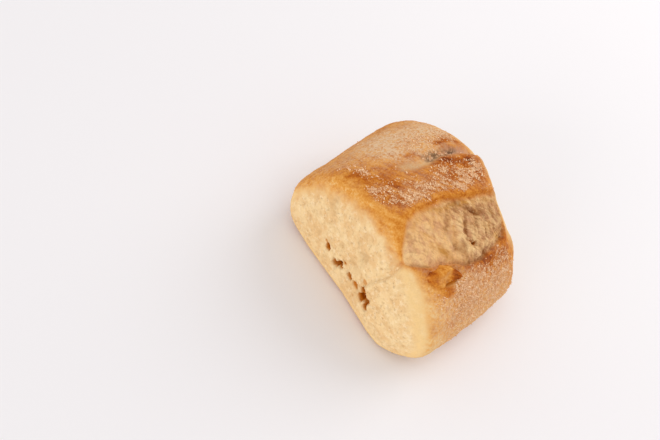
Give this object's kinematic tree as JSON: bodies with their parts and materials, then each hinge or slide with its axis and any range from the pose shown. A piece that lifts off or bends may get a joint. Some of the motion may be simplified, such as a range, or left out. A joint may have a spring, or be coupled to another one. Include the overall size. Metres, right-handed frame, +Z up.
{
  "type": "french bread",
  "caption": "Portion of floury French bread with a domed crust, an opened score, a lifted flake on its lip, pale cut ends and a flat base.",
  "frame": {"origin": "centre of the bounding box in X and Y, on the flat base the bread rests on", "axes": "+X across the loaf, towards the side of the opened score; +Y along the loaf, from the cut end that shows to the far one; +Z up"},
  "size_m": [0.1068, 0.0826, 0.0593],
  "materials": {
    "bread": "matte"
  },
  "bodies": {
    "root": {"french_bread": "bread"}
  },
  "joints": []
}
